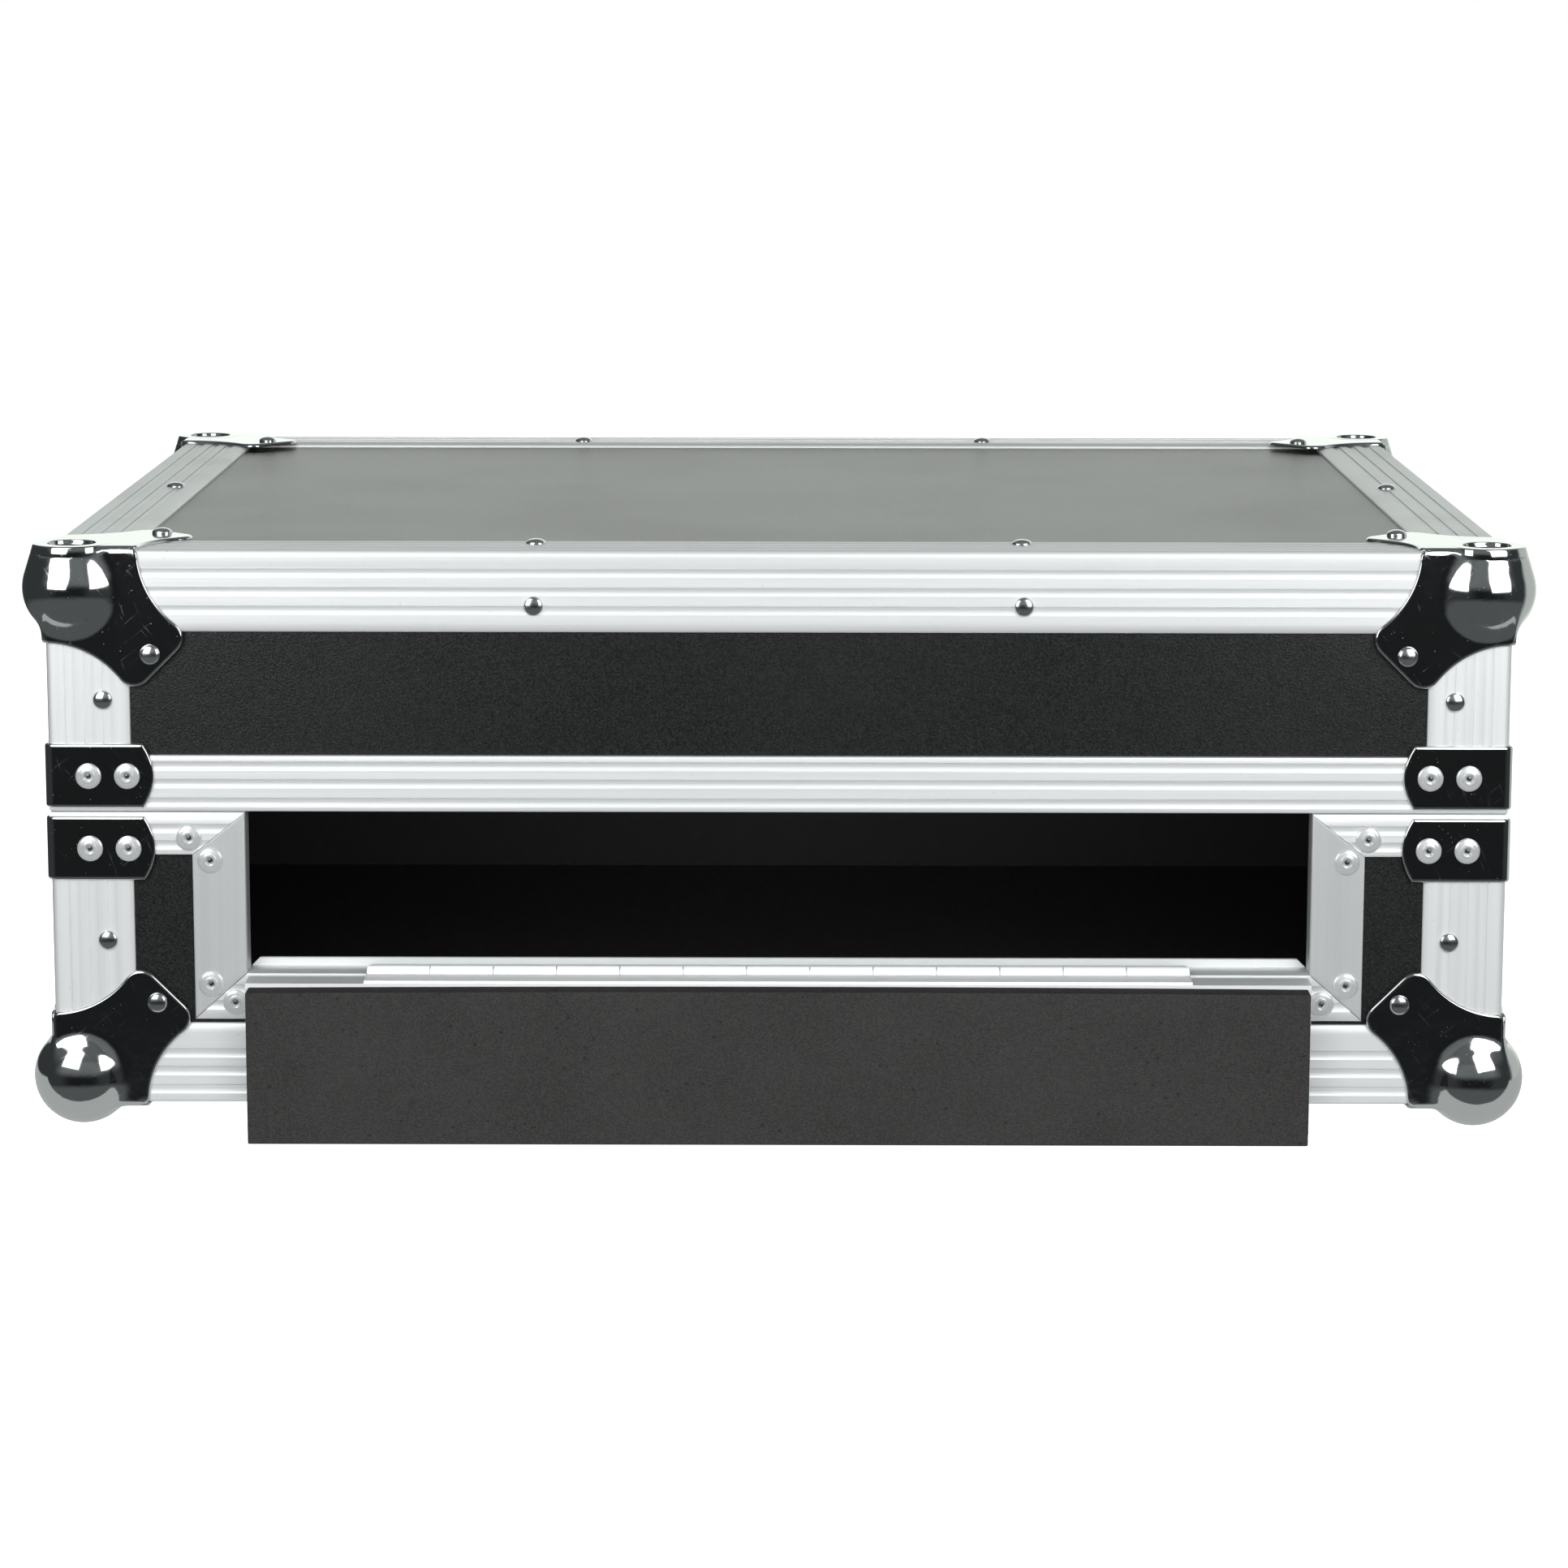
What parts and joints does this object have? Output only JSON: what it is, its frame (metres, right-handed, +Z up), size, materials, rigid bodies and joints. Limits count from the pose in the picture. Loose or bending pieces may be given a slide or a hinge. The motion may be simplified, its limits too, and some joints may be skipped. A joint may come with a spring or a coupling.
{
  "type": "mixer flight case",
  "caption": "Flight case for a rack-width mixer: laminated plywood in aluminium extrusions, ball corners, butterfly latches, lift-off lid and a foam-lined cable flap hung open on a piano hinge.",
  "frame": {"origin": "on the ground under the middle of the case, between the four lower ball corners", "axes": "+Z up, +X to the right as seen from the cable side, -Y out of the wall with the cable flap"},
  "size_m": [0.5484, 0.4734, 0.2174],
  "materials": {
    "laminate": "black phenolic laminate on plywood, fine grain",
    "aluminium": "satin anodised extrusion, fine grooves",
    "chrome": "bright chrome on pressed steel, light scuffs",
    "steel": "zinc-plated steel, satin",
    "rivet": "nickel-plated rivets, polished",
    "foam": "dark grey closed-cell foam, matt, fine pores",
    "batten": "planed softwood",
    "grip": "black rubber, matt"
  },
  "bodies": {
    "base": {"base_floor": "laminate", "base_rear_wall": "laminate", "base_right_wall": "laminate", "base_front_wall": "laminate", "base_left_wall": "laminate", "base_edge_rear": "aluminium", "base_edge_right": "aluminium", "base_edge_front": "aluminium", "base_edge_left": "aluminium", "base_posts": "aluminium", "base_rim_rear": "aluminium", "base_rim_right": "aluminium", "base_rim_front": "aluminium", "base_rim_left": "aluminium", "opening_sill": "aluminium", "opening_jamb_left": "aluminium", "opening_jamb_right": "aluminium", "base_ball_corners": "chrome", "base_corner_braces": "chrome", "base_dome_rivets": "rivet", "base_blind_rivets": "rivet", "rack_rail_left": "steel", "rack_rail_right": "steel", "rail_battens": "batten", "handle_plate": "steel", "hinge_leaf_fixed": "steel", "hinge_pin": "steel", "latch_dish_left": "steel", "latch_dish_right": "steel"},
    "handle": {"handle_bail": "steel", "handle_grip": "grip"},
    "flap": {"hinge_leaf_moving": "steel", "flap_panel": "laminate", "flap_edging": "aluminium", "flap_foam": "foam"},
    "lid": {"lid_top": "laminate", "lid_rear_wall": "laminate", "lid_right_wall": "laminate", "lid_front_wall": "laminate", "lid_left_wall": "laminate", "lid_edge_rear": "aluminium", "lid_edge_right": "aluminium", "lid_edge_front": "aluminium", "lid_edge_left": "aluminium", "lid_posts": "aluminium", "lid_rim_rear": "aluminium", "lid_rim_right": "aluminium", "lid_rim_front": "aluminium", "lid_rim_left": "aluminium", "lid_ball_corners": "chrome", "lid_corner_braces": "chrome", "lid_dome_rivets": "rivet", "lid_blind_rivets": "rivet", "lid_lining": "foam", "latch_strike_left": "steel", "latch_strike_right": "steel"},
    "wing_left": {"latch_wing_left": "steel"},
    "wing_right": {"latch_wing_right": "steel"},
    "hook_left": {"latch_hook_left": "steel"},
    "hook_right": {"latch_hook_right": "steel"}
  },
  "joints": [
    {"name": "lid_lift", "type": "slide", "parent": "base", "child": "lid", "axis": [0, 0, 1], "range_m": [0, 0.1]},
    {"name": "flap_hinge", "type": "hinge", "parent": "base", "child": "flap", "pos_m": [0, -0.2116, 0.05915], "axis": [-1, 0, 0], "range_deg": [0, 180], "deforming": ["flap_foam"]},
    {"name": "handle_pivot", "type": "hinge", "parent": "base", "child": "handle", "pos_m": [0, 0.2267, 0.0892], "axis": [1, 0, 0], "range_deg": [0, 90]},
    {"name": "latch_left_turn", "type": "hinge", "parent": "base", "child": "wing_left", "pos_m": [-0.26, 0, 0.0977], "axis": [1, 0, 0], "range_deg": [0, 180]},
    {"name": "latch_left_pull", "type": "slide", "parent": "base", "child": "hook_left", "axis": [0.3976, 0, -0.9176], "range_m": [0, 0.00654]},
    {"name": "latch_right_turn", "type": "hinge", "parent": "base", "child": "wing_right", "pos_m": [0.26, 0, 0.0977], "axis": [-1, 0, 0], "range_deg": [0, 180]},
    {"name": "latch_right_pull", "type": "slide", "parent": "base", "child": "hook_right", "axis": [-0.3976, 0, -0.9176], "range_m": [0, 0.00654]}
  ],
  "couplings": [
    {"joint": "latch_left_turn", "follows": "latch_left_pull", "rad_per_m": 480.3},
    {"joint": "latch_right_turn", "follows": "latch_right_pull", "rad_per_m": 480.3}
  ]
}
